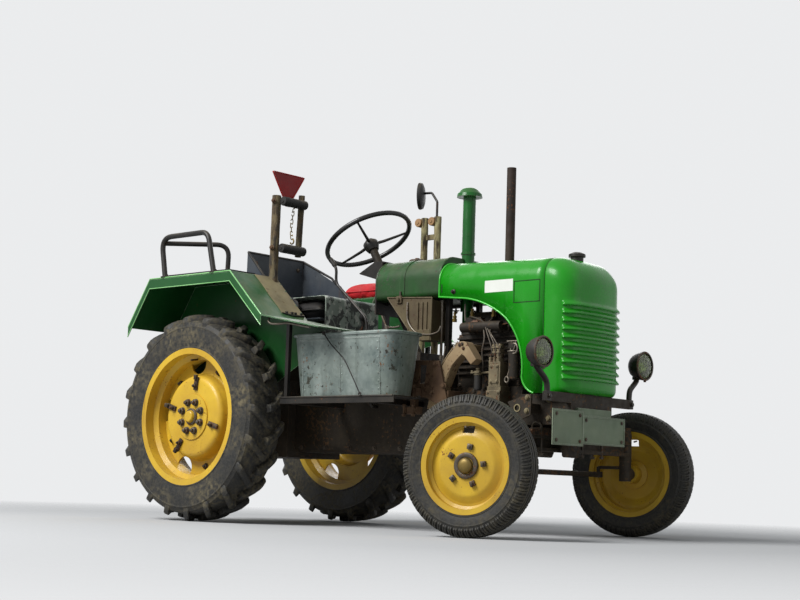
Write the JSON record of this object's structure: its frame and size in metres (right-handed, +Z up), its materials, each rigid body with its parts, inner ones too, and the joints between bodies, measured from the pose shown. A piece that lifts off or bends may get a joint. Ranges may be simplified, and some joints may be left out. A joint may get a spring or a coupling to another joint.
{
  "type": "farm tractor",
  "caption": "Small old farm tractor with ribbed green nose, open engine, yellow wheels, lugged rear tyres, fenders, seat, racks and tub; it rolls and steers.",
  "frame": {"origin": "on the ground under the middle of the tractor's length and width", "axes": "+X forward, +Y to the driver's left, +Z up"},
  "size_m": [2.5964, 1.4536, 1.7262],
  "materials": {
    "dark_cast": "oily cast iron with road dust",
    "spring_steel": "weathered spring steel",
    "black_paint": "worn black paint",
    "green_paint": "glossy bright green",
    "fender_green": "glossy green, worn inside",
    "dark_green": "satin dark green",
    "yellow_paint": "yellow with rust streaks",
    "worn_sheet": "dusty brown-grey sheet",
    "rusty_steel": "rough rusty steel",
    "bare_steel": "rubbed bare steel",
    "zinc": "spangled galvanised sheet",
    "pale_plate": "dull pale plate",
    "red_plate": "dull red plate",
    "red_lens": "red lens",
    "clear_glass": "ribbed lamp glass",
    "black_plastic": "hard black rim",
    "rear_rubber": "dusty lugged rubber",
    "front_rubber": "dusty road rubber",
    "dark_rubber": "thin dark mat",
    "dark_vinyl": "black seat cover",
    "red_cloth": "bright red quilted cloth",
    "camo_fleece": "green and white mottled fleece"
  },
  "bodies": {
    "chassis": {"engine": "dark_cast", "engine_fittings": "dark_cast", "gearbox": "dark_cast", "rear_axle_housing": "dark_cast", "drawbar_hitch": "black_paint", "front_bracket": "dark_cast", "front_axle": "dark_cast", "front_spring": "spring_steel", "hood": "green_paint", "nose": "green_paint", "radiator": "black_paint", "fuel_tank": "dark_green", "dash_panel": "black_paint", "steering_box": "dark_cast", "battery_box": "worn_sheet", "air_intake": "dark_green", "exhaust_pipe": "rusty_steel", "headlamps": "black_paint", "lamp_lenses": "clear_glass", "front_plates": "pale_plate", "fender_right": "fender_green", "fender_left": "fender_green", "footboards": "black_paint", "handrail_right": "black_paint", "tail_lamps": "red_lens", "pad_right": "dark_rubber", "cushion_left": "red_cloth", "seat_shell": "black_paint", "seat_cushion": "dark_vinyl", "seat_blanket": "camo_fleece", "seat_support": "black_paint", "controls": "bare_steel", "rear_rack": "rusty_steel", "red_triangle": "red_plate", "front_rack": "rusty_steel", "mirror": "black_paint", "side_tub": "zinc", "side_bracket": "rusty_steel", "air_duct": "worn_sheet"},
    "wheel_rear_right": {"rear_tyre_right": "rear_rubber", "rear_wheel_right": "yellow_paint"},
    "wheel_rear_left": {"rear_tyre_left": "rear_rubber", "rear_wheel_left": "yellow_paint"},
    "knuckle_right": {"knuckle_right": "dark_cast"},
    "knuckle_left": {"knuckle_left": "dark_cast"},
    "wheel_front_right": {"front_tyre_right": "front_rubber", "front_wheel_right": "yellow_paint"},
    "wheel_front_left": {"front_tyre_left": "front_rubber", "front_wheel_left": "yellow_paint"},
    "tie_rod": {"tie_rod": "bare_steel"},
    "pitman_arm": {"pitman_arm": "dark_cast"},
    "drag_link": {"drag_link": "bare_steel"},
    "steering_wheel": {"steering_wheel": "black_plastic"}
  },
  "joints": [
    {"name": "spin_rear_right", "type": "hinge", "parent": "chassis", "child": "wheel_rear_right", "pos_m": [-0.742, -0.524, 0.495], "axis": [0, 1, 0], "continuous": true},
    {"name": "spin_rear_left", "type": "hinge", "parent": "chassis", "child": "wheel_rear_left", "pos_m": [-0.742, 0.524, 0.495], "axis": [0, 1, 0], "continuous": true},
    {"name": "steer_right", "type": "hinge", "parent": "chassis", "child": "knuckle_right", "pos_m": [0.988, -0.526, 0.285], "axis": [0, 0, 1], "range_deg": [-48, 22]},
    {"name": "steer_left", "type": "hinge", "parent": "chassis", "child": "knuckle_left", "pos_m": [0.988, 0.526, 0.285], "axis": [0, 0, 1], "range_deg": [-48, 22]},
    {"name": "spin_front_right", "type": "hinge", "parent": "knuckle_right", "child": "wheel_front_right", "pos_m": [1.00937, -0.61857, 0.285], "axis": [-0.225, 0.9744, 0], "continuous": true},
    {"name": "spin_front_left", "type": "hinge", "parent": "knuckle_left", "child": "wheel_front_left", "pos_m": [0.96663, 0.61857, 0.285], "axis": [-0.225, 0.9744, 0], "continuous": true},
    {"name": "tie_rod_pin", "type": "hinge", "parent": "knuckle_right", "child": "tie_rod", "pos_m": [0.86133, -0.55524, 0.279], "axis": [0, 0, 1], "range_deg": [-22, 48]},
    {"name": "pitman_swing", "type": "hinge", "parent": "chassis", "child": "pitman_arm", "pos_m": [0.183, 0.262, 0.7], "axis": [0, 1, 0], "range_deg": [-15.4, 33.6]},
    {"name": "drag_link_pin", "type": "hinge", "parent": "pitman_arm", "child": "drag_link", "pos_m": [0.21224, 0.296, 0.52239], "axis": [0, 1, 0], "range_deg": [-33.6, 15.4]},
    {"name": "steering_turn", "type": "hinge", "parent": "chassis", "child": "steering_wheel", "pos_m": [-0.153, 0, 1.361], "axis": [-0.515, 0, 0.8572], "range_deg": [-672, 308]}
  ],
  "couplings": [
    {"joint": "steer_left", "follows": "steer_right", "ratio": 1},
    {"joint": "tie_rod_pin", "follows": "steer_right", "ratio": -1},
    {"joint": "pitman_swing", "follows": "steer_right", "ratio": -0.7},
    {"joint": "drag_link_pin", "follows": "steer_right", "ratio": 0.7},
    {"joint": "steering_turn", "follows": "steer_right", "ratio": 14}
  ]
}
